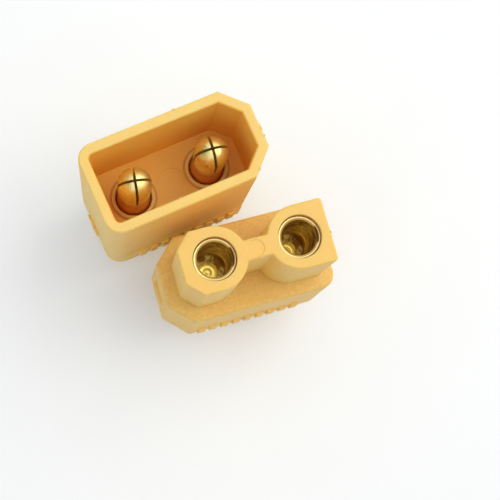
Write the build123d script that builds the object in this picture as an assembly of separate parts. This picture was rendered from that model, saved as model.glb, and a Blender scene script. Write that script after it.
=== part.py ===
"""Two-contact battery connector, unplugged into its male and its female half.

The halves stand upright, side by side, on the solder cups of their gold-plated contacts.
Millimetres, +Z up; the origin lies on the table under the middle of the pair.
"""
import os
from math import atan, copysign, cos, degrees, radians, sin, sqrt, tan

from build123d import *

os.makedirs("parts", exist_ok=True)

# What the two halves have in common
pitch = 5.0              # between the middles of a half's two contacts
contact_shift = 0.1      # how far both sit off the middle, away from the cut corners
cup_length = 3.3         # how far the solder cups stand out behind the housings
cup_bore = 1.9           # takes a stranded battery wire
cup_wall = 0.3
cup_depth = 2.7
cup_notch = 1.1          # width of the opening that lets solder flow in
cup_notch_length = 1.7
collar_step = 0.32       # how far the collar that keeps a contact in stands out from the tube
collar_height = 1.4
turned_bevel = 0.08      # flats that the lathe puts on the edges of collar and cup
drill_angle = 60         # of a drill's point, between its axis and its side
press_gap = 0.02         # left between a contact and the nylon around it, all round
edge_break = 0.08        # how far the mould rounds or bevels a sharp edge
near = 0.001             # tolerance in finding an edge or a corner by its place

# Tongue of the female half: the keyed outline that everything else is built around
sleeve_wall = 0.615      # nylon round a contact's hole, where it is thinnest
tongue_height = 5.9
tongue_chamfer = 0.9     # the cut corners at the negative end
tongue_corner = 0.2      # the round corners at the positive end
tongue_edge = 0.12       # softer edges of the cut corners
web_thickness = 1.2      # between the two sleeves of the tongue
web_fillet = 0.12

# Shell of the male half, which slides over the tongue
slide_gap = 0.3          # between tongue and shell, all round
seat_gap = 0.05          # left between the tongue's end and the rings on the floor when plugged in
wall = 0.625
outline_corner = 1.0     # round corners of the outside at the positive end
cavity_corner = 0.35
floor_thickness = 4.6
ring_wall = 0.2          # raised ring on the floor round each pin
ring_height = 0.15
ring_gap = 0.08          # open groove between the ring and the pin, all round
groove_depth = 0.5
pad_height = 2.4         # low pad on both wide sides, which stands out by pad_step
pad_step = 0.05
floor_mark = 1.8         # round mark of an ejector pin on the floor
mark_depth = 0.04

# Body of the female half, under its tongue
body_height = 6.45
body_draft = 0.09        # how much it narrows on each side from its base to its top
shoulder_round = 0.2     # of the edge around its top
web_mark = 0.95          # ejector mark on the end of the web

# Pins of the male half
pin_diameter = 2.06      # of the straight land under the dome, which grips the socket
pin_land = 0.8
waist_cut = 0.1          # how much the pin is turned down below the land, so that it bends
tip_setback = 1.2        # from the rim down to the tips, so that no finger touches them
shank_step = 0.05        # how much thicker than the land the pin is where it stands in the floor
shoulder_height = 0.75   # cone between the shank and the pin
slit_width = 0.16        # crossed slits that let the pin spring inwards
slit_depth = 2.7
slit_overrun = 0.2       # how far the saw runs out past the pin
slit_turns = {"positive": -14.0, "negative": -8.0}   # how each pin happens to be turned

# Sockets of the female half
pin_squeeze = 0.04       # how much a socket presses the slit pin together
tube_wall = 0.2
mouth_recess = 0.3       # from the tongue's end down to the tubes
mouth_bevel = 0.16       # how much the mouth widens, over mouth_bevel_depth
mouth_bevel_depth = 0.09
bore_spare = 0.6         # what the bore is deeper than the pin goes in
pilot_diameter = 1.24    # smaller flat-bottomed hole in the bottom
pilot_depth = 0.3
relief_gap = 0.05        # wider gap round the tubes near the tongue's end
relief_depth = 2.0

# Raised features of the outside
gate_width = 0.35        # stub of the moulding gate under the rim
gate_height = 0.4
gate_reach = 0.1
gate_drop = 0.3
relief_height = 0.15     # how far ribs and signs stand out
relief_draft = 12        # degrees that their flanks lean, so that they leave the mould
rib_count = 9
rib_pitch = 0.78
rib_length = 1.5
rib_width = 0.5
sign_length = 1.5        # plus and minus on the narrow ends
sign_stroke = 0.42

# Where the halves stand
halves_gap = 0.56        # between them at the nearest corner
female_shift = 1.78      # of the female half along the male one
female_turn = -8.5       # degrees out of line with the male half

socket_bore = pin_diameter - pin_squeeze
tube_diameter = socket_bore + 2 * tube_wall
relief_diameter = tube_diameter + 2 * relief_gap
shank_diameter = pin_diameter + 2 * shank_step
collar_diameter = tube_diameter + 2 * collar_step
cup_diameter = cup_bore + 2 * cup_wall
tongue_width = relief_diameter + 2 * sleeve_wall
tongue_length = pitch + tongue_width
cavity_depth = tongue_height + seat_gap + ring_height
male_height = floor_thickness + cavity_depth
female_height = body_height + tongue_height
tip_height = male_height - tip_setback
mouth_height = female_height - mouth_recess
bore_depth = tongue_height - tip_setback - mouth_recess + bore_spare
shell_grow = slide_gap + wall
shell_length = tongue_length + 2 * shell_grow
shell_width = tongue_width + 2 * shell_grow
relief_root = wall / 3   # how deep ribs and signs are rooted in the wall
contact_places = {"positive": -pitch / 2 - contact_shift, "negative": pitch / 2 - contact_shift}


def cut_corner(grow):
    """Legs of the cut corners of an outline that runs `grow` outside the tongue's."""
    return tongue_chamfer + grow * (2 - sqrt(2))


def keyed_outline(grow, corner):
    """Keyed outline that runs `grow` outside the tongue's: cut corners at +X, round at -X."""
    face = Rectangle(tongue_length + 2 * grow, tongue_width + 2 * grow)
    face = chamfer(face.vertices().group_by(Axis.X)[-1], cut_corner(grow))
    return fillet(face.vertices().group_by(Axis.X)[0], corner)


def upright(sketch, bottom, height):
    """The sketch as a prism from `bottom` upwards."""
    return Pos(0, 0, bottom) * extrude(sketch, height)


def both_contacts(sketch):
    """The sketch once around each contact's middle."""
    return Sketch() + [Pos(x, 0) * sketch for x in contact_places.values()]


def contact_holes(diameter, top):
    """Hole for both contacts' shanks up to `top`, and the recess behind it for their collars."""
    shanks = upright(both_contacts(Circle(diameter / 2 + press_gap)), 0, top)
    return shanks + upright(both_contacts(Circle(collar_diameter / 2 + press_gap)), 0, collar_height)


def end_sign(positive):
    """Plus or minus as a sketch, standing upright on the narrow ends."""
    bar = Rectangle(sign_length, sign_stroke)
    return bar + Rot(0, 0, 90) * bar if positive else bar


def raised(sketch, plane):
    """The sketch moulded on the plane: rooted inside the wall, with drafted flanks."""
    return extrude(plane * sketch, relief_height, taper=relief_draft) + extrude(plane * sketch, -relief_root)


def grip_ribs(plane, reach):
    """Row of short upright ribs in the place of the lettering on a wide side."""
    rib = Rectangle(rib_width, rib_length)
    middle = GridLocations(rib_pitch, 0, rib_count, 1)
    return raised(Sketch() + [spot * rib for spot in middle if abs(spot.position.X) < reach], plane)


def side_plane(x, y, height, facing):
    """Upright plane at a spot of the outside that looks along `facing`."""
    return Plane(origin=(x, y, height), x_dir=(-facing[1], facing[0], 0), z_dir=(*facing, 0))


def male_housing():
    """Shroud with a deep keyed cavity, a thick floor and a raised ring round each pin."""
    half_length, half_width = shell_length / 2, shell_width / 2
    shell = upright(keyed_outline(shell_grow, outline_corner), 0, male_height)
    shell -= upright(keyed_outline(slide_gap, cavity_corner), floor_thickness, cavity_depth)
    shell = chamfer(shell.faces().sort_by(Axis.Z)[-1].edges(), edge_break)
    flat_start, flat_end = outline_corner - half_length, half_length - cut_corner(shell_grow)
    pad = Rectangle(flat_end - flat_start, shell_width + 2 * pad_step)
    pad = Pos((flat_start + flat_end) / 2, 0) * pad - Rectangle(shell_length, shell_width - 2 * relief_root)
    shell += upright(pad, 0, pad_height)
    groove = shank_diameter / 2 + ring_gap
    ring_top = floor_thickness + ring_height
    shell += upright(both_contacts(Circle(groove + ring_wall)), floor_thickness, ring_height)
    shell -= contact_holes(shank_diameter, floor_thickness)
    shell -= upright(both_contacts(Circle(groove)), ring_top - groove_depth, groove_depth)
    shell -= upright(Circle(floor_mark / 2), floor_thickness - mark_depth, mark_depth)
    gate = Pos(half_length, 0, male_height - gate_drop - gate_height / 2)
    shell += gate * Box(2 * gate_reach, gate_width, gate_height)
    low = pad_height / 2
    shell += raised(end_sign(True), side_plane(-half_length, 0, low, (-1, 0)))
    shell += raised(end_sign(False), side_plane(half_length, 0, low, (1, 0)))
    return shell + grip_ribs(side_plane(0, -half_width - pad_step, low, (0, -1)), half_length)


def tongue_outline():
    """Two sleeves, one with cut and one with round corners, joined by a thin web."""
    sleeves = Rectangle(pitch, web_thickness)
    for x in contact_places.values():
        block = tongue_length / 2 - abs(x)
        sleeves += Pos(x, 0) * Circle(tongue_width / 2)
        sleeves += Pos(copysign(abs(x) + block / 2, x), 0) * Rectangle(block, tongue_width)
    face = keyed_outline(0, tongue_corner) & sleeves
    notches = [spot for spot in face.vertices() if abs(abs(spot.Y) - web_thickness / 2) < near]
    face = fillet(notches, web_fillet)
    cut_start = tongue_length / 2 - tongue_chamfer
    cuts = [spot for spot in face.vertices() if spot.X > cut_start - near]
    return fillet(cuts, tongue_edge)


def female_housing():
    """Solid body with the two-sleeved tongue on it and a bore through each sleeve."""
    lean = degrees(atan(body_draft / body_height))
    body = extrude(keyed_outline(shell_grow, outline_corner), body_height, taper=lean)
    body = fillet(body.faces().sort_by(Axis.Z)[-1].edges(), shoulder_round)
    tongue = upright(tongue_outline(), body_height / 2, female_height - body_height / 2)
    tongue = chamfer(tongue.faces().sort_by(Axis.Z)[-1].edges(), edge_break)
    body += tongue
    body -= upright(both_contacts(Circle(relief_diameter / 2)), female_height - relief_depth, relief_depth)
    body -= contact_holes(tube_diameter, female_height)
    body -= upright(Circle(web_mark / 2), female_height - mark_depth, mark_depth)
    half_length, half_width = shell_length / 2, shell_width / 2
    low = pad_height / 2
    middle = body_height / 2
    set_back = body_draft / 2
    body += raised(end_sign(True), side_plane(-half_length + set_back, 0, middle, (-1, 0)))
    body += raised(end_sign(False), side_plane(half_length - set_back, 0, middle, (1, 0)))
    return body + grip_ribs(side_plane(0, half_width, low, (0, 1)), half_length)


def solder_end():
    """Back of every contact: the collar in the housing and the notched cup behind it."""
    cup_end = Pos(0, 0, -cup_length)
    collar = extrude(Circle(collar_diameter / 2), collar_height)
    collar = chamfer(collar.edges().group_by(Axis.Z)[-1], turned_bevel)
    cup = cup_end * extrude(Circle(cup_diameter / 2), cup_length)
    cup = chamfer(cup.edges().group_by(Axis.Z)[0], turned_bevel)
    back = collar + cup
    back -= cup_end * extrude(Circle(cup_bore / 2), cup_depth)
    cone_height = cup_bore / 2 / tan(radians(drill_angle))
    back -= Pos(0, 0, cup_depth - cup_length + cone_height / 2) * Cone(cup_bore / 2, 0, cone_height)
    straight = cup_notch_length - cup_notch / 2
    notch = Pos(0, straight / 2) * Rectangle(cup_notch, straight)
    notch += Pos(0, straight) * Circle(cup_notch / 2)
    across = Plane(origin=(0, 0, -cup_length), x_dir=(-1, 0, 0), z_dir=(0, 1, 0))
    return back - extrude(across * notch, cup_diameter)


def male_contact(slit_turn):
    """Turned pin with a domed tip and a slight waist, sprung by two crossed slits."""
    head, shank = pin_diameter / 2, shank_diameter / 2
    waist = head - waist_cut
    dome_base = tip_height - head
    land_base = dome_base - pin_land
    cone_top = floor_thickness + shoulder_height
    narrow = (cone_top + land_base) / 2
    dome_side = (head * sin(radians(45)), dome_base + head * cos(radians(45)))
    outline = ThreePointArc((0, tip_height), dome_side, (head, dome_base))
    outline += Line((head, dome_base), (head, land_base))
    outline += Spline([(head, land_base), (waist, narrow), (waist, cone_top)], tangents=[(0, -1), (0, -1)])
    outline += Polyline((waist, cone_top), (shank, floor_thickness), (shank, collar_height / 2),
                        (0, collar_height / 2), (0, tip_height))
    pin = revolve(Plane.XZ * make_face(outline), Axis.Z) + solder_end()
    slit_end = tip_height - slit_depth + slit_width / 2
    slit_length = pin_diameter + 2 * slit_overrun
    slit = Pos(0, 0, slit_end + slit_depth / 2) * Box(slit_length, slit_width, slit_depth)
    slit += Pos(0, 0, slit_end) * Rot(0, 90, 0) * Cylinder(slit_width / 2, slit_length)
    for turn in (slit_turn, slit_turn + 90):
        pin -= Rot(0, 0, turn) * slit
    return pin


def female_contact():
    """Turned tube with a bevelled mouth and a stepped bottom."""
    tube = upright(Circle(tube_diameter / 2), collar_height / 2, mouth_height - collar_height / 2)
    tube = chamfer(tube.edges().group_by(Axis.Z)[-1], press_gap)
    bottom = mouth_height - bore_depth
    tube -= upright(Circle(socket_bore / 2), bottom, bore_depth)
    widening = Cone(socket_bore / 2, socket_bore / 2 + mouth_bevel, mouth_bevel_depth)
    tube -= Pos(0, 0, mouth_height - mouth_bevel_depth / 2) * widening
    tube -= upright(Circle(pilot_diameter / 2), bottom - pilot_depth, pilot_depth)
    return tube + solder_end()


def female_place():
    """Where the female half stands: turned end for end, its nearest corner beside the male half."""
    turned = Rot(0, 0, 180 + female_turn) * keyed_outline(shell_grow, outline_corner)
    back_edge = turned.bounding_box().max.Y
    return Pos(female_shift, -shell_width / 2 - pad_step - halves_gap - back_edge, 0) * Rot(
        0, 0, 180 + female_turn)


def connector():
    """Every piece by its name, with the pair's middle over the origin and its cups on the table."""
    pieces = {"male_housing": male_housing()}
    for name, x in contact_places.items():
        pieces[f"male_pin_{name}"] = Pos(x, 0, 0) * male_contact(slit_turns[name])
    female = female_place()
    pieces["female_housing"] = female * female_housing()
    for name, x in contact_places.items():
        pieces[f"female_socket_{name}"] = female * Pos(x, 0, 0) * Rot(0, 0, 180) * female_contact()
    box = Compound(list(pieces.values())).bounding_box()
    home = Pos(-box.center().X, -box.center().Y, -box.min.Z)
    return {name: home * piece for name, piece in pieces.items()}


for name, piece in connector().items():
    piece.label = name
    export_step(piece, f"parts/{name}.step")
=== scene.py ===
"""Looks of a two-contact battery connector: amber nylon housings, gold-plated contacts."""
from math import cos, pi, radians, sin

import bmesh
import bpy
from mathutils import Matrix, Vector, noise


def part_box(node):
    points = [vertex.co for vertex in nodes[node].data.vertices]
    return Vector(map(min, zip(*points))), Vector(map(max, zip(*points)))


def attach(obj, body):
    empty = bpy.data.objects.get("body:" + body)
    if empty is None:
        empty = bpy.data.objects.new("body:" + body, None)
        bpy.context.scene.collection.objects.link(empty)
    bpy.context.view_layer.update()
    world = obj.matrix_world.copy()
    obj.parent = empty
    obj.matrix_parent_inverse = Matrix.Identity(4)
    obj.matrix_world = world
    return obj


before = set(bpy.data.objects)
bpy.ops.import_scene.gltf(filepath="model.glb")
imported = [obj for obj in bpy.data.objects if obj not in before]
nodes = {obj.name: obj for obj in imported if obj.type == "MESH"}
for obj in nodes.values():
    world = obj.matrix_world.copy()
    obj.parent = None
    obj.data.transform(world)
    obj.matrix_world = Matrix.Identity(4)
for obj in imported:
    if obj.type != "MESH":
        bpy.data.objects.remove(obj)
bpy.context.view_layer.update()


# Table top
# The connector stands on a smooth white sheet, which is no part of it. It is nearly white, with the
# faint cloudiness of coated paper, and it carries the soft shadows of both halves.
mm = 0.001
sheet_half_width = 1.5
sheet_white = "EDF1EF"
sheet_shade = "E9EDEB"
pure_white = "FFFFFF"
cloud_size = 9 * mm
sheet_roughness = 0.6
sheet_gloss = 0.3
sheet_lift = 0.13           # light for the camera alone, so that the open sheet shows white


def linear(hex_colour):
    """A colour written as sRGB hex, as the linear RGBA that the nodes take."""
    def channel(pair):
        value = int(pair, 16) / 255
        return value / 12.92 if value <= 0.04045 else ((value + 0.055) / 1.055) ** 2.4
    return (*(channel(hex_colour[i:i + 2]) for i in (0, 2, 4)), 1.0)


def new_material(name):
    """An empty node material, its tree and its output node."""
    material = bpy.data.materials.new(name)
    material.use_nodes = True
    material.node_tree.nodes.clear()
    return material, material.node_tree, material.node_tree.nodes.new("ShaderNodeOutputMaterial")


def add_node(tree, kind, settings=None, values=None, links=None):
    """Adds a node with its settings, and its inputs' values and links by name or number."""
    node = tree.nodes.new(kind)
    for name, value in (settings or {}).items():
        setattr(node, name, value)
    for name, value in (values or {}).items():
        node.inputs[name].default_value = value
    for name, socket in (links or {}).items():
        tree.links.new(socket, node.inputs[name])
    return node


def coated_paper():
    """Smooth white sheet: a faint cloudiness, hardly any gloss."""
    material, tree, output = new_material("coated_paper")
    place = add_node(tree, "ShaderNodeTexCoord")
    cloud = add_node(tree, "ShaderNodeTexNoise", values={"Scale": 1 / cloud_size, "Detail": 3.0},
                     links={"Vector": place.outputs["Object"]})
    tone = add_node(tree, "ShaderNodeMix", {"data_type": "RGBA"},
                    {"A": linear(sheet_white), "B": linear(sheet_shade)},
                    {"Factor": cloud.outputs["Fac"]})
    ray = add_node(tree, "ShaderNodeLightPath")
    lift = add_node(tree, "ShaderNodeMapRange", values={"To Max": sheet_lift},
                    links={"Value": ray.outputs["Is Camera Ray"]})
    shader = add_node(tree, "ShaderNodeBsdfPrincipled",
                      values={"Roughness": sheet_roughness, "Specular IOR Level": sheet_gloss,
                              "Emission Color": linear(pure_white)},
                      links={"Base Color": tone.outputs["Result"],
                             "Emission Strength": lift.outputs["Result"]})
    tree.links.new(shader.outputs["BSDF"], output.inputs["Surface"])
    return material


corners = [(x * sheet_half_width, y * sheet_half_width, 0)
           for x, y in ((-1, -1), (1, -1), (1, 1), (-1, 1))]
sheet_mesh = bpy.data.meshes.new("table_sheet")
sheet_mesh.from_pydata(corners, [], [(0, 1, 2, 3)])
table_sheet = bpy.data.objects.new("table_sheet", sheet_mesh)
bpy.context.scene.collection.objects.link(table_sheet)
table_sheet.data.materials.append(coated_paper())


# Light and camera
# A wide soft lamp stands to the right in a pale room that is brightest overhead, and the camera
# looks down from a hand's width above the table. Two dim cards show only in the gold, as a dark
# room would, and a third only keeps some light off the near sides.
camera_place = Vector((-10.672, -9.629, 79.002)) * mm
camera_aim = Vector((3.237, -1.444, 0)) * mm
camera_roll = radians(35.62)
camera_focal = 2.3076       # of the width of the picture
zenith_light = 1.04
horizon_light = 0.50
room_tint = "F2F5FF"
lamp_power = 0.64
lamp_tint = "FFF3E0"
lamp_place = Vector((234, -20, 325)) * mm
lamp_width = 380 * mm
card_grey = "6E6456"
card_turn = 15              # degrees from one corner of a card to the next
upper_card_place = Vector((-10, -9, 110)) * mm
upper_card_radius = 7 * mm
left_card_place = Vector((-127, 46, 85)) * mm
left_card_radius = 88 * mm
near_card_place = Vector((-62, -142, 62)) * mm
near_card_radius = 85 * mm


def looking(place, aim):
    """Turn of a thing at `place` that looks at `aim`."""
    return (aim - place).to_track_quat("-Z", "Y").to_matrix()


camera_data = bpy.data.cameras.new("camera")
camera_data.lens = camera_focal * camera_data.sensor_width
camera_data.clip_start = 1 * mm
camera = bpy.data.objects.new("camera", camera_data)
camera_turn = looking(camera_place, camera_aim) @ Matrix.Rotation(camera_roll, 3, "Z")
camera.matrix_world = Matrix.Translation(camera_place) @ camera_turn.to_4x4()
bpy.context.scene.collection.objects.link(camera)
bpy.context.scene.camera = camera

lamp_data = bpy.data.lights.new("lamp", "AREA")
lamp_data.shape = "DISK"
lamp_data.size = lamp_width
lamp_data.energy = lamp_power
lamp_data.color = linear(lamp_tint)[:3]
lamp = bpy.data.objects.new("lamp", lamp_data)
lamp.matrix_world = Matrix.Translation(lamp_place) @ looking(lamp_place, Vector()).to_4x4()
bpy.context.scene.collection.objects.link(lamp)

card_material, card_tree, card_output = new_material("dark_card")
card_shader = add_node(card_tree, "ShaderNodeEmission", values={"Color": linear(card_grey)})
card_tree.links.new(card_shader.outputs["Emission"], card_output.inputs["Surface"])


def dark_card(name, place, radius, in_gloss):
    """Round card that faces the connector: seen only by its gloss or only by its matt sides."""
    turns = [radians(turn) for turn in range(0, 360, card_turn)]
    edge = [(radius * cos(turn), radius * sin(turn), 0) for turn in turns]
    mesh = bpy.data.meshes.new(name)
    mesh.from_pydata(edge, [], [tuple(range(len(edge)))])
    mesh.materials.append(card_material)
    card = bpy.data.objects.new(name, mesh)
    card.matrix_world = Matrix.Translation(place) @ looking(place, Vector()).to_4x4()
    card.visible_camera = False
    card.visible_shadow = False
    card.visible_transmission = False
    card.visible_glossy = in_gloss
    card.visible_diffuse = not in_gloss
    bpy.context.scene.collection.objects.link(card)


dark_card("upper_card", upper_card_place, upper_card_radius, True)
dark_card("left_card", left_card_place, left_card_radius, True)
dark_card("near_card", near_card_place, near_card_radius, False)

world = bpy.data.worlds.new("white_room")
world.use_nodes = True
room = world.node_tree
room.nodes.clear()
direction = add_node(room, "ShaderNodeTexCoord")
height = add_node(room, "ShaderNodeSeparateXYZ", links={"Vector": direction.outputs["Generated"]})
glow = add_node(room, "ShaderNodeMapRange",
                values={"To Min": horizon_light, "To Max": zenith_light},
                links={"Value": height.outputs["Z"]})
ray = add_node(room, "ShaderNodeLightPath")
seen = add_node(room, "ShaderNodeMath", {"operation": "MAXIMUM"},
                links={0: ray.outputs["Is Camera Ray"], 1: ray.outputs["Is Glossy Ray"]})
strength = add_node(room, "ShaderNodeMix", values={"B": 1.0},
                    links={"Factor": seen.outputs["Value"], "A": glow.outputs["Result"]})
tint = add_node(room, "ShaderNodeMix", {"data_type": "RGBA"},
                {"A": linear(room_tint), "B": linear(pure_white)},
                {"Factor": seen.outputs["Value"]})
backdrop = add_node(room, "ShaderNodeBackground",
                    links={"Color": tint.outputs["Result"], "Strength": strength.outputs["Result"]})
add_node(room, "ShaderNodeOutputWorld", links={"Surface": backdrop.outputs["Background"]})
bpy.context.scene.world = world
bpy.context.scene.view_settings.view_transform = "Standard"


# Housings
# Each is one injection moulding of glass-filled nylon, amber all through, satin with faint flow
# marks, and light bleeds a little into it. The female half's shoulder is sandy, because that face
# of its mould was spark-eroded.
nylon_light = {"male_housing": "FCD87C", "female_housing": "FCD172"}
nylon_deep = {"male_housing": "F8CE70", "female_housing": "F8C664"}
painted_glow_amber = "FFCA58"      # painted glow inside the shroud, for light that has come through the walls
ring_painted_light = "FFD474"       # painted light: the thin rings round the pins, paler for the light they catch
crease_painted_shade = "E2A23E"     # painted shade in the corner round each ring
flow_size = 2.2 * mm
speck_tone = "B98A45"
speck_spacing = 1.5 * mm
speck_edges = (0.026, 0.045)    # of the spacing, from its dark middle to where it ends
speck_depth = 0.4
fibre_size = 0.12 * mm      # drawn coarser than glass fibre is, so that it shows
fibre_relief = 0.01 * mm
fibre_strength = 0.25
nylon_ior = 1.53
nylon_roughness = (0.42, 0.58)
edge_round = 0.05 * mm
glow_share = 0.5
glow_depth = 0.32 * mm
glow_reach = (2.6, 0.6, 0.12)   # red light goes furthest through the amber
cavity_middle = 10.9 * mm
floor_height = 7.9 * mm
flatness = 0.02 * mm        # what still counts as the floor
ring_middle = 7.75 * mm     # halfway up a ring and the groove inside it
ring_half_height = 0.45 * mm
ring_reach = 1.36 * mm      # from a pin's axis to the outside of its ring
crease_width = 0.14 * mm
shoulder_height = 9.75 * mm
grain_start = 0.6 * mm      # how far below the shoulder the sand begins
grain_full = 0.1 * mm       # how far below it the sand is full
grain_end = (0.02 * mm, 0.06 * mm)      # how far above it the sand fades out
grain_size = 0.17 * mm
grain_light = "F2CD72"
grain_deep = "E5BC5C"
grain_contrast = (0.32, 0.68)
grain_relief = 0.04 * mm
grain_strength = 0.4


def skin_colour(tree, place, name):
    """Amber with faint flow marks, and a dark speck of burnt resin here and there."""
    flow = add_node(tree, "ShaderNodeTexNoise",
                    values={"Scale": 1 / flow_size, "Detail": 4.0, "Distortion": 0.6},
                    links={"Vector": place.outputs["Object"]})
    tone = add_node(tree, "ShaderNodeMix", {"data_type": "RGBA"},
                    {"A": linear(nylon_light[name]), "B": linear(nylon_deep[name])},
                    {"Factor": flow.outputs["Fac"]})
    specks = add_node(tree, "ShaderNodeTexVoronoi", values={"Scale": 1 / speck_spacing},
                      links={"Vector": place.outputs["Object"]})
    near_speck = add_node(tree, "ShaderNodeMapRange", {"interpolation_type": "SMOOTHSTEP"},
                          {"From Min": speck_edges[0], "From Max": speck_edges[1],
                           "To Min": speck_depth, "To Max": 0.0},
                          {"Value": specks.outputs["Distance"]})
    specked = add_node(tree, "ShaderNodeMix", {"data_type": "RGBA"}, {"B": linear(speck_tone)},
                       {"Factor": near_speck.outputs["Result"], "A": tone.outputs["Result"]})
    return specked.outputs["Result"]


def shroud_colour(tree, place, colour):
    """Painted glow: deeper amber inside the shroud; round each pin a ring painted paler as light,
    with painted shade in the corner round it.
    """
    pins = [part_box(pin) for pin in ("male_pin_positive", "male_pin_negative")]
    middle = sum((lowest + highest for lowest, highest in pins), Vector()) / 4
    middle.z = cavity_middle
    half_pitch = abs(pins[1][0].x - pins[0][0].x) / 2
    from_middle = add_node(tree, "ShaderNodeMapping", values={"Location": -middle},
                           links={"Vector": place.outputs["Object"]})
    surface = add_node(tree, "ShaderNodeNewGeometry")
    outwards = add_node(tree, "ShaderNodeVectorMath", {"operation": "DOT_PRODUCT"},
                        links={0: from_middle.outputs["Vector"], 1: surface.outputs["True Normal"]})
    inside = add_node(tree, "ShaderNodeMath", {"operation": "LESS_THAN"}, {1: 0.0},
                      {0: outwards.outputs["Value"]})
    # painted glow: the faces that look into the shroud get a deeper amber, for light come through
    # the walls
    glow_painted = add_node(tree, "ShaderNodeMix", {"data_type": "RGBA"}, {"B": linear(painted_glow_amber)},
                      {"Factor": inside.outputs["Value"], "A": colour})

    spot = add_node(tree, "ShaderNodeSeparateXYZ", links={"Vector": from_middle.outputs["Vector"]})
    aside = add_node(tree, "ShaderNodeMath", {"operation": "ABSOLUTE"},
                     links={0: spot.outputs["X"]})
    from_pin = add_node(tree, "ShaderNodeMath", {"operation": "SUBTRACT"}, {1: half_pitch},
                        {0: aside.outputs["Value"]})
    across = add_node(tree, "ShaderNodeCombineXYZ",
                      links={"X": from_pin.outputs["Value"], "Y": spot.outputs["Y"]})
    reach = add_node(tree, "ShaderNodeVectorMath", {"operation": "LENGTH"},
                     links={0: across.outputs["Vector"]})
    at_pin = add_node(tree, "ShaderNodeMath", {"operation": "LESS_THAN"}, {1: ring_reach},
                      {0: reach.outputs["Value"]})
    at_foot = add_node(tree, "ShaderNodeMath", {"operation": "COMPARE"},
                       {1: ring_middle - cavity_middle, 2: ring_half_height},
                       {0: spot.outputs["Z"]})
    on_ring = add_node(tree, "ShaderNodeMath", {"operation": "MULTIPLY"},
                       links={0: at_pin.outputs["Value"], 1: at_foot.outputs["Value"]})
    # painted light: the rings round the pins are painted paler, for the light they catch and let
    # through
    ringed = add_node(tree, "ShaderNodeMix", {"data_type": "RGBA"}, {"B": linear(ring_painted_light)},
                      {"Factor": on_ring.outputs["Value"], "A": glow_painted.outputs["Result"]})
    # painted shade: a darker line on the floor just outside each ring, for the shade in that corner
    round_ring = add_node(tree, "ShaderNodeMath", {"operation": "COMPARE"},
                          {1: ring_reach + crease_width / 2, 2: crease_width / 2},
                          {0: reach.outputs["Value"]})
    on_floor = add_node(tree, "ShaderNodeMath", {"operation": "COMPARE"},
                        {1: floor_height - cavity_middle, 2: flatness}, {0: spot.outputs["Z"]})
    in_crease = add_node(tree, "ShaderNodeMath", {"operation": "MULTIPLY"},
                         links={0: round_ring.outputs["Value"], 1: on_floor.outputs["Value"]})
    crease_shaded = add_node(tree, "ShaderNodeMix", {"data_type": "RGBA"}, {"B": linear(crease_painted_shade)},
                       {"Factor": in_crease.outputs["Value"], "A": ringed.outputs["Result"]})
    return crease_shaded.outputs["Result"]


def shoulder_grain(tree, place, smooth_colour):
    """Sandy grain at the shoulder's height: its colour and, for the relief, its height."""
    spot = add_node(tree, "ShaderNodeSeparateXYZ", links={"Vector": place.outputs["Object"]})
    rising = add_node(tree, "ShaderNodeMapRange", {"interpolation_type": "SMOOTHSTEP"},
                      {"From Min": shoulder_height - grain_start,
                       "From Max": shoulder_height - grain_full},
                      {"Value": spot.outputs["Z"]})
    ending = add_node(tree, "ShaderNodeMapRange",
                      values={"From Min": shoulder_height + grain_end[0],
                              "From Max": shoulder_height + grain_end[1],
                              "To Min": 1.0, "To Max": 0.0},
                      links={"Value": spot.outputs["Z"]})
    on_shoulder = add_node(tree, "ShaderNodeMath", {"operation": "MULTIPLY"},
                           links={0: rising.outputs["Result"], 1: ending.outputs["Result"]})
    grain = add_node(tree, "ShaderNodeTexNoise",
                     values={"Scale": 1 / grain_size, "Detail": 3.0, "Roughness": 0.7},
                     links={"Vector": place.outputs["Object"]})
    contrast = add_node(tree, "ShaderNodeMapRange",
                        values={"From Min": grain_contrast[0], "From Max": grain_contrast[1]},
                        links={"Value": grain.outputs["Fac"]})
    sand = add_node(tree, "ShaderNodeMix", {"data_type": "RGBA"},
                    {"A": linear(grain_deep), "B": linear(grain_light)},
                    {"Factor": contrast.outputs["Result"]})
    colour = add_node(tree, "ShaderNodeMix", {"data_type": "RGBA"},
                      links={"Factor": on_shoulder.outputs["Value"], "A": smooth_colour,
                             "B": sand.outputs["Result"]})
    rise = add_node(tree, "ShaderNodeMath", {"operation": "MULTIPLY"},
                    links={0: grain.outputs["Fac"], 1: on_shoulder.outputs["Value"]})
    return colour.outputs["Result"], rise.outputs["Value"]


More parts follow.
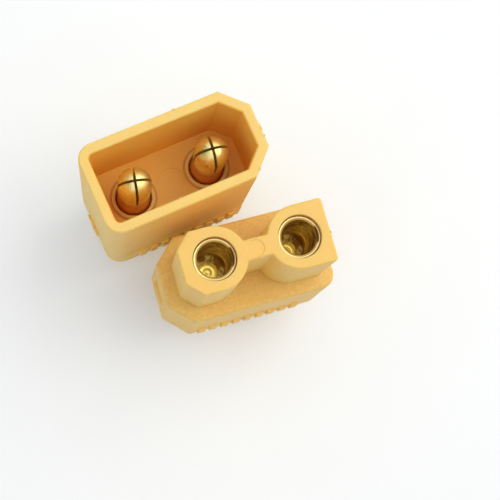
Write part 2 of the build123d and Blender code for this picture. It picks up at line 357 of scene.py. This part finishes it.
def moulded_nylon(name):
    """Satin amber nylon: fine glass fibre in the gloss and the relief, edges softly rounded."""
    material, tree, output = new_material(f"amber_nylon_{name}")
    place = add_node(tree, "ShaderNodeTexCoord")
    colour = skin_colour(tree, place, name)
    fibre = add_node(tree, "ShaderNodeTexNoise", values={"Scale": 1 / fibre_size, "Detail": 2.0},
                     links={"Vector": place.outputs["Object"]})
    gloss = add_node(tree, "ShaderNodeMapRange",
                     values={"To Min": nylon_roughness[0], "To Max": nylon_roughness[1]},
                     links={"Value": fibre.outputs["Fac"]})
    soft_edge = add_node(tree, "ShaderNodeBevel", {"samples": 4}, {"Radius": edge_round})
    relief = add_node(tree, "ShaderNodeBump",
                      values={"Strength": fibre_strength, "Distance": fibre_relief},
                      links={"Height": fibre.outputs["Fac"], "Normal": soft_edge.outputs["Normal"]})
    if name == "male_housing":
        colour = shroud_colour(tree, place, colour)
    else:
        colour, rise = shoulder_grain(tree, place, colour)
        relief = add_node(tree, "ShaderNodeBump",
                          values={"Strength": grain_strength, "Distance": grain_relief},
                          links={"Height": rise, "Normal": relief.outputs["Normal"]})
    shader = add_node(tree, "ShaderNodeBsdfPrincipled",
                      values={"IOR": nylon_ior, "Subsurface Weight": glow_share,
                              "Subsurface Scale": glow_depth, "Subsurface Radius": glow_reach},
                      links={"Base Color": colour, "Roughness": gloss.outputs["Result"],
                             "Normal": relief.outputs["Normal"]})
    tree.links.new(shader.outputs["BSDF"], output.inputs["Surface"])
    return material


for name in ("male_housing", "female_housing"):
    nodes[name].data.materials.clear()
    nodes[name].data.materials.append(moulded_nylon(name))


# Moulding flash
# Small ragged flakes of the same nylon stand out where the mould closed on the rims, left
# untrimmed. Each lies half in its edge, along it, and no two are alike.
flakes = {                  # place and half sizes in mm, and the way the edge runs in degrees
    "male_housing": (
        ((0.10, 6.45, 13.95), (0.13, 0.06, 0.04), 0),
        ((-0.05, 5.85, 13.96), (0.09, 0.05, 0.04), 8),
        ((-1.70, 1.46, 13.96), (0.12, 0.05, 0.04), 0),
        ((-4.85, 0.87, 13.94), (0.10, 0.06, 0.05), -4),
        ((4.37, 3.42, 13.95), (0.12, 0.07, 0.05), 90),
        ((4.37, 2.98, 13.93), (0.07, 0.06, 0.05), 84),
        ((3.30, 1.23, 13.95), (0.10, 0.05, 0.04), 45),
        ((-6.21, 3.90, 13.95), (0.08, 0.05, 0.04), 90),
    ),
    "female_housing": (
        ((-0.86, -1.00, 15.57), (0.10, 0.07, 0.05), -20),
        ((0.95, -3.70, 15.58), (0.12, 0.06, 0.04), -8),
        ((-3.54, -2.85, 15.56), (0.09, 0.06, 0.05), 81),
        ((5.14, -3.95, 15.58), (0.10, 0.06, 0.04), 81),
    ),
}
flake_raggedness = 0.02 * mm
ragged_size = 0.06 * mm
flash_seed = 7              # unseeded, the flakes would differ from run to run

noise.seed_set(flash_seed)
for name, places in flakes.items():
    shape = bmesh.new()
    for place, size, turn in places:
        along_edge = Matrix.Rotation(radians(turn), 3, "Z")
        spread = Matrix.LocRotScale(Vector(place) * mm, along_edge, Vector(size) * mm)
        flake = bmesh.ops.create_icosphere(shape, subdivisions=3, radius=1.0, matrix=spread)
        for point in flake["verts"]:
            point.co += noise.noise_vector(point.co / ragged_size) * flake_raggedness
    flash_mesh = bpy.data.meshes.new(f"{name}_flash")
    shape.to_mesh(flash_mesh)
    shape.free()
    flash_mesh.materials.append(nodes[name].data.materials[0])
    flash = bpy.data.objects.new(f"{name}_flash", flash_mesh)
    bpy.context.scene.collection.objects.link(flash)
    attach(flash, "root")


# Pins
# The two bullet pins are turned from a copper alloy, slit crosswise and gold plated. Their domes
# have a pale, grainy gloss with small marks from plugging in. Deep in the shroud the gold is
# painted darker and redder, as painted shade for the dim depth there; outside it, the cups are pale
# again.
pin_light = "FDF6B8"
pin_deep = "EDD672"
pin_mark = "8F8964"
pin_low_painted_shade = "DCA264"
dome_foot = 11.0 * mm
shank_top = 9.0 * mm
cups_end = 5.0 * mm
stain_size = 0.35 * mm
stain_edges = (0.35, 0.7)
mark_size = 0.24 * mm
mark_edges = (0.66, 0.72)
mark_depth = 0.6
lathe_spacing = 0.09 * mm
lathe_relief = 0.004 * mm
lathe_strength = 0.15
dent_size = 0.05 * mm
dent_relief = 0.012 * mm
dent_strength = 0.35
pin_roughness = (0.36, 0.52)    # of the light gold and of the deep


def wave_scale(spacing):
    """Scale of Blender's wave texture for bands that lie `spacing` apart."""
    return 2 * pi / 20 / spacing


def turned_gold(name):
    """Gold plating on turned copper: pale and grainy, over fine lathe rings and dents."""
    material, tree, output = new_material(name)
    place = add_node(tree, "ShaderNodeTexCoord")
    stain = add_node(tree, "ShaderNodeTexNoise",
                     values={"Scale": 1 / stain_size, "Detail": 5.0, "Roughness": 0.65},
                     links={"Vector": place.outputs["Object"]})
    patches = add_node(tree, "ShaderNodeMapRange",
                       values={"From Min": stain_edges[0], "From Max": stain_edges[1]},
                       links={"Value": stain.outputs["Fac"]})
    tone = add_node(tree, "ShaderNodeMix", {"data_type": "RGBA"},
                    {"A": linear(pin_light), "B": linear(pin_deep)},
                    {"Factor": patches.outputs["Result"]})
    marks = add_node(tree, "ShaderNodeTexNoise", values={"Scale": 1 / mark_size, "Detail": 2.0},
                     links={"Vector": place.outputs["Object"]})
    marked = add_node(tree, "ShaderNodeMapRange", {"interpolation_type": "SMOOTHSTEP"},
                      {"From Min": mark_edges[0], "From Max": mark_edges[1], "To Max": mark_depth},
                      {"Value": marks.outputs["Fac"]})
    handled = add_node(tree, "ShaderNodeMix", {"data_type": "RGBA"}, {"B": linear(pin_mark)},
                       {"Factor": marked.outputs["Result"], "A": tone.outputs["Result"]})
    spot = add_node(tree, "ShaderNodeSeparateXYZ", links={"Vector": place.outputs["Object"]})
    # painted shade: down the pin inside the shroud the gold is painted darker and redder
    lowness = add_node(tree, "ShaderNodeMapRange", {"interpolation_type": "SMOOTHSTEP"},
                       {"From Min": shank_top, "From Max": dome_foot, "To Min": 1.0, "To Max": 0.0},
                       {"Value": spot.outputs["Z"]})
    in_shroud = add_node(tree, "ShaderNodeMath", {"operation": "GREATER_THAN"}, {1: cups_end},
                         {0: spot.outputs["Z"]})
    low_shade = add_node(tree, "ShaderNodeMath", {"operation": "MULTIPLY"},
                       links={0: lowness.outputs["Result"], 1: in_shroud.outputs["Value"]})
    plating = add_node(tree, "ShaderNodeMix", {"data_type": "RGBA"}, {"B": linear(pin_low_painted_shade)},
                       {"Factor": low_shade.outputs["Value"], "A": handled.outputs["Result"]})
    gloss = add_node(tree, "ShaderNodeMapRange",
                     values={"To Min": pin_roughness[0], "To Max": pin_roughness[1]},
                     links={"Value": patches.outputs["Result"]})
    rings = add_node(tree, "ShaderNodeTexWave", {"bands_direction": "Z"},
                     {"Scale": wave_scale(lathe_spacing), "Distortion": 0.6, "Detail": 2.0},
                     {"Vector": place.outputs["Object"]})
    turned = add_node(tree, "ShaderNodeBump",
                      values={"Strength": lathe_strength, "Distance": lathe_relief},
                      links={"Height": rings.outputs["Fac"]})
    dents = add_node(tree, "ShaderNodeTexNoise", values={"Scale": 1 / dent_size, "Detail": 2.0},
                     links={"Vector": place.outputs["Object"]})
    relief = add_node(tree, "ShaderNodeBump",
                      values={"Strength": dent_strength, "Distance": dent_relief},
                      links={"Height": dents.outputs["Fac"], "Normal": turned.outputs["Normal"]})
    shader = add_node(tree, "ShaderNodeBsdfPrincipled", values={"Metallic": 1.0},
                      links={"Base Color": plating.outputs["Result"],
                             "Roughness": gloss.outputs["Result"],
                             "Normal": relief.outputs["Normal"]})
    tree.links.new(shader.outputs["BSDF"], output.inputs["Surface"])
    return material


pin_gold = turned_gold("turned_gold")
for name in ("male_pin_positive", "male_pin_negative"):
    nodes[name].data.materials.clear()
    nodes[name].data.materials.append(pin_gold)


# Sockets
# The two tubes are turned and drilled, then gold plated. The drill smears the wall of the bore
# into dull brown and bright streaks, and the dull brown is also painted shade for the depth of the
# bore. Only the bevelled mouth, with painted shade on its inner half, and the small ringed step at
# the bottom, which the drill's point cut clean, stay bright.
bore_radius = 1.01 * mm
bore_depth = 5.0 * mm
step_radius = 0.62 * mm
step_depth = 1 * mm         # below the bore, with some to spare
radius_slack = 0.02 * mm
mouth_bevel = 0.09 * mm
socket_light = "F8E6A4"
socket_deep = "E2C274"
wall_dull_and_shade = "A67A2E"
wall_bright = "FFE992"
bottom_tone = "FFE67C"
mouth_tone = "FAE6A6"
mouth_inner_painted_shade = "B98F42"
mouth_inner_end = (0.0525 * mm, 0.1575 * mm)    # how far out from the bore its painted shade fades
mouth_round = 0.07 * mm
streak_size = (0.9 * mm, 0.9 * mm, 0.4 * mm)
streak_lean = (radians(28), radians(16), 0)
streak_edges = (0.44, 0.6)
streak_relief = 0.05 * mm
bottom_rings = 0.31 * mm
bottom_relief = 0.008 * mm
bright_roughness = 0.14
dull_roughness = 0.42


def drilled_gold(name, axis, mouth):
    """Gold plating of a tube: bright mouth with painted shade on its inner half, streaked wall
    deepened by painted shade, and ringed bottom of its bore.
    """
    material, tree, output = new_material(name)
    place = add_node(tree, "ShaderNodeTexCoord")
    centred = add_node(tree, "ShaderNodeMapping", values={"Location": -axis},
                       links={"Vector": place.outputs["Object"]})
    spot = add_node(tree, "ShaderNodeSeparateXYZ", links={"Vector": centred.outputs["Vector"]})
    across = add_node(tree, "ShaderNodeCombineXYZ",
                      links={"X": spot.outputs["X"], "Y": spot.outputs["Y"]})
    reach = add_node(tree, "ShaderNodeVectorMath", {"operation": "LENGTH"},
                     links={0: across.outputs["Vector"]})
    inside = add_node(tree, "ShaderNodeMath", {"operation": "LESS_THAN"},
                      {1: bore_radius + radius_slack}, {0: reach.outputs["Value"]})
    on_step = add_node(tree, "ShaderNodeMath", {"operation": "LESS_THAN"},
                       {1: step_radius - radius_slack / 2}, {0: reach.outputs["Value"]})
    wall_top = mouth - mouth_bevel
    wall_foot = mouth - bore_depth - step_depth
    in_bore = add_node(tree, "ShaderNodeMath", {"operation": "COMPARE"},
                       {1: (wall_top + wall_foot) / 2, 2: (wall_top - wall_foot) / 2},
                       {0: spot.outputs["Z"]})
    on_wall = add_node(tree, "ShaderNodeMath", {"operation": "MULTIPLY"},
                       links={0: inside.outputs["Value"], 1: in_bore.outputs["Value"]})
    on_bottom = add_node(tree, "ShaderNodeMath", {"operation": "MULTIPLY"},
                         links={0: on_step.outputs["Value"], 1: in_bore.outputs["Value"]})

    stain = add_node(tree, "ShaderNodeTexNoise", values={"Scale": 1 / stain_size, "Detail": 4.0},
                     links={"Vector": centred.outputs["Vector"]})
    plain = add_node(tree, "ShaderNodeMix", {"data_type": "RGBA"},
                     {"A": linear(socket_light), "B": linear(socket_deep)},
                     {"Factor": stain.outputs["Fac"]})
    smeared = add_node(tree, "ShaderNodeMapping",
                       values={"Rotation": streak_lean,
                               "Scale": [1 / size for size in streak_size]},
                       links={"Vector": centred.outputs["Vector"]})
    streaks = add_node(tree, "ShaderNodeTexNoise",
                       values={"Scale": 1.0, "Detail": 5.0, "Roughness": 0.6, "Distortion": 1.2},
                       links={"Vector": smeared.outputs["Vector"]})
    bright = add_node(tree, "ShaderNodeMapRange", {"interpolation_type": "SMOOTHSTEP"},
                      {"From Min": streak_edges[0], "From Max": streak_edges[1]},
                      {"Value": streaks.outputs["Fac"]})
    # partly painted shade: the bore's wall is a dull brown under its bright streaks, for its depth
    # as well as its smear
    wall = add_node(tree, "ShaderNodeMix", {"data_type": "RGBA"},
                    {"A": linear(wall_dull_and_shade), "B": linear(wall_bright)},
                    {"Factor": bright.outputs["Result"]})
    with_wall = add_node(tree, "ShaderNodeMix", {"data_type": "RGBA"},
                         links={"Factor": on_wall.outputs["Value"], "A": plain.outputs["Result"],
                                "B": wall.outputs["Result"]})
    with_bottom = add_node(tree, "ShaderNodeMix", {"data_type": "RGBA"}, {"B": linear(bottom_tone)},
                           {"Factor": on_bottom.outputs["Value"], "A": with_wall.outputs["Result"]})
    on_mouth = add_node(tree, "ShaderNodeMath", {"operation": "GREATER_THAN"}, {1: wall_top},
                        {0: spot.outputs["Z"]})
    outward = add_node(tree, "ShaderNodeMapRange", {"interpolation_type": "SMOOTHSTEP"},
                       {"From Min": bore_radius + mouth_inner_end[0],
                        "From Max": bore_radius + mouth_inner_end[1]},
                       {"Value": reach.outputs["Value"]})
    # painted shade: the inner half of the mouth's bevel is painted darker gold, so the bright ring
    # is thinner
    lip = add_node(tree, "ShaderNodeMix", {"data_type": "RGBA"},
                   {"A": linear(mouth_inner_painted_shade), "B": linear(mouth_tone)},
                   {"Factor": outward.outputs["Result"]})
    colour = add_node(tree, "ShaderNodeMix", {"data_type": "RGBA"},
                      links={"Factor": on_mouth.outputs["Value"],
                             "A": with_bottom.outputs["Result"], "B": lip.outputs["Result"]})

    dull = add_node(tree, "ShaderNodeMath", {"operation": "SUBTRACT"},
                    links={0: on_wall.outputs["Value"], 1: on_bottom.outputs["Value"]})
    gloss = add_node(tree, "ShaderNodeMapRange",
                     values={"To Min": bright_roughness, "To Max": dull_roughness},
                     links={"Value": dull.outputs["Value"]})
    soft_edge = add_node(tree, "ShaderNodeBevel", {"samples": 6}, {"Radius": mouth_round})
    rings = add_node(tree, "ShaderNodeTexWave", {"wave_type": "RINGS", "rings_direction": "Z"},
                     {"Scale": wave_scale(bottom_rings)}, {"Vector": centred.outputs["Vector"]})
    relief = add_node(tree, "ShaderNodeBump", values={"Distance": bottom_relief},
                      links={"Height": rings.outputs["Fac"], "Strength": on_bottom.outputs["Value"],
                             "Normal": soft_edge.outputs["Normal"]})
    smear = add_node(tree, "ShaderNodeBump", values={"Distance": streak_relief},
                     links={"Height": streaks.outputs["Fac"], "Strength": dull.outputs["Value"],
                            "Normal": relief.outputs["Normal"]})
    shader = add_node(tree, "ShaderNodeBsdfPrincipled", values={"Metallic": 1.0},
                      links={"Base Color": colour.outputs["Result"],
                             "Roughness": gloss.outputs["Result"],
                             "Normal": smear.outputs["Normal"]})
    tree.links.new(shader.outputs["BSDF"], output.inputs["Surface"])
    return material


for name in ("female_socket_positive", "female_socket_negative"):
    lowest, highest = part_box(name)
    axis = (lowest + highest) / 2
    axis.z = 0
    nodes[name].data.materials.clear()
    nodes[name].data.materials.append(drilled_gold(f"drilled_gold_{name}", axis, highest.z))
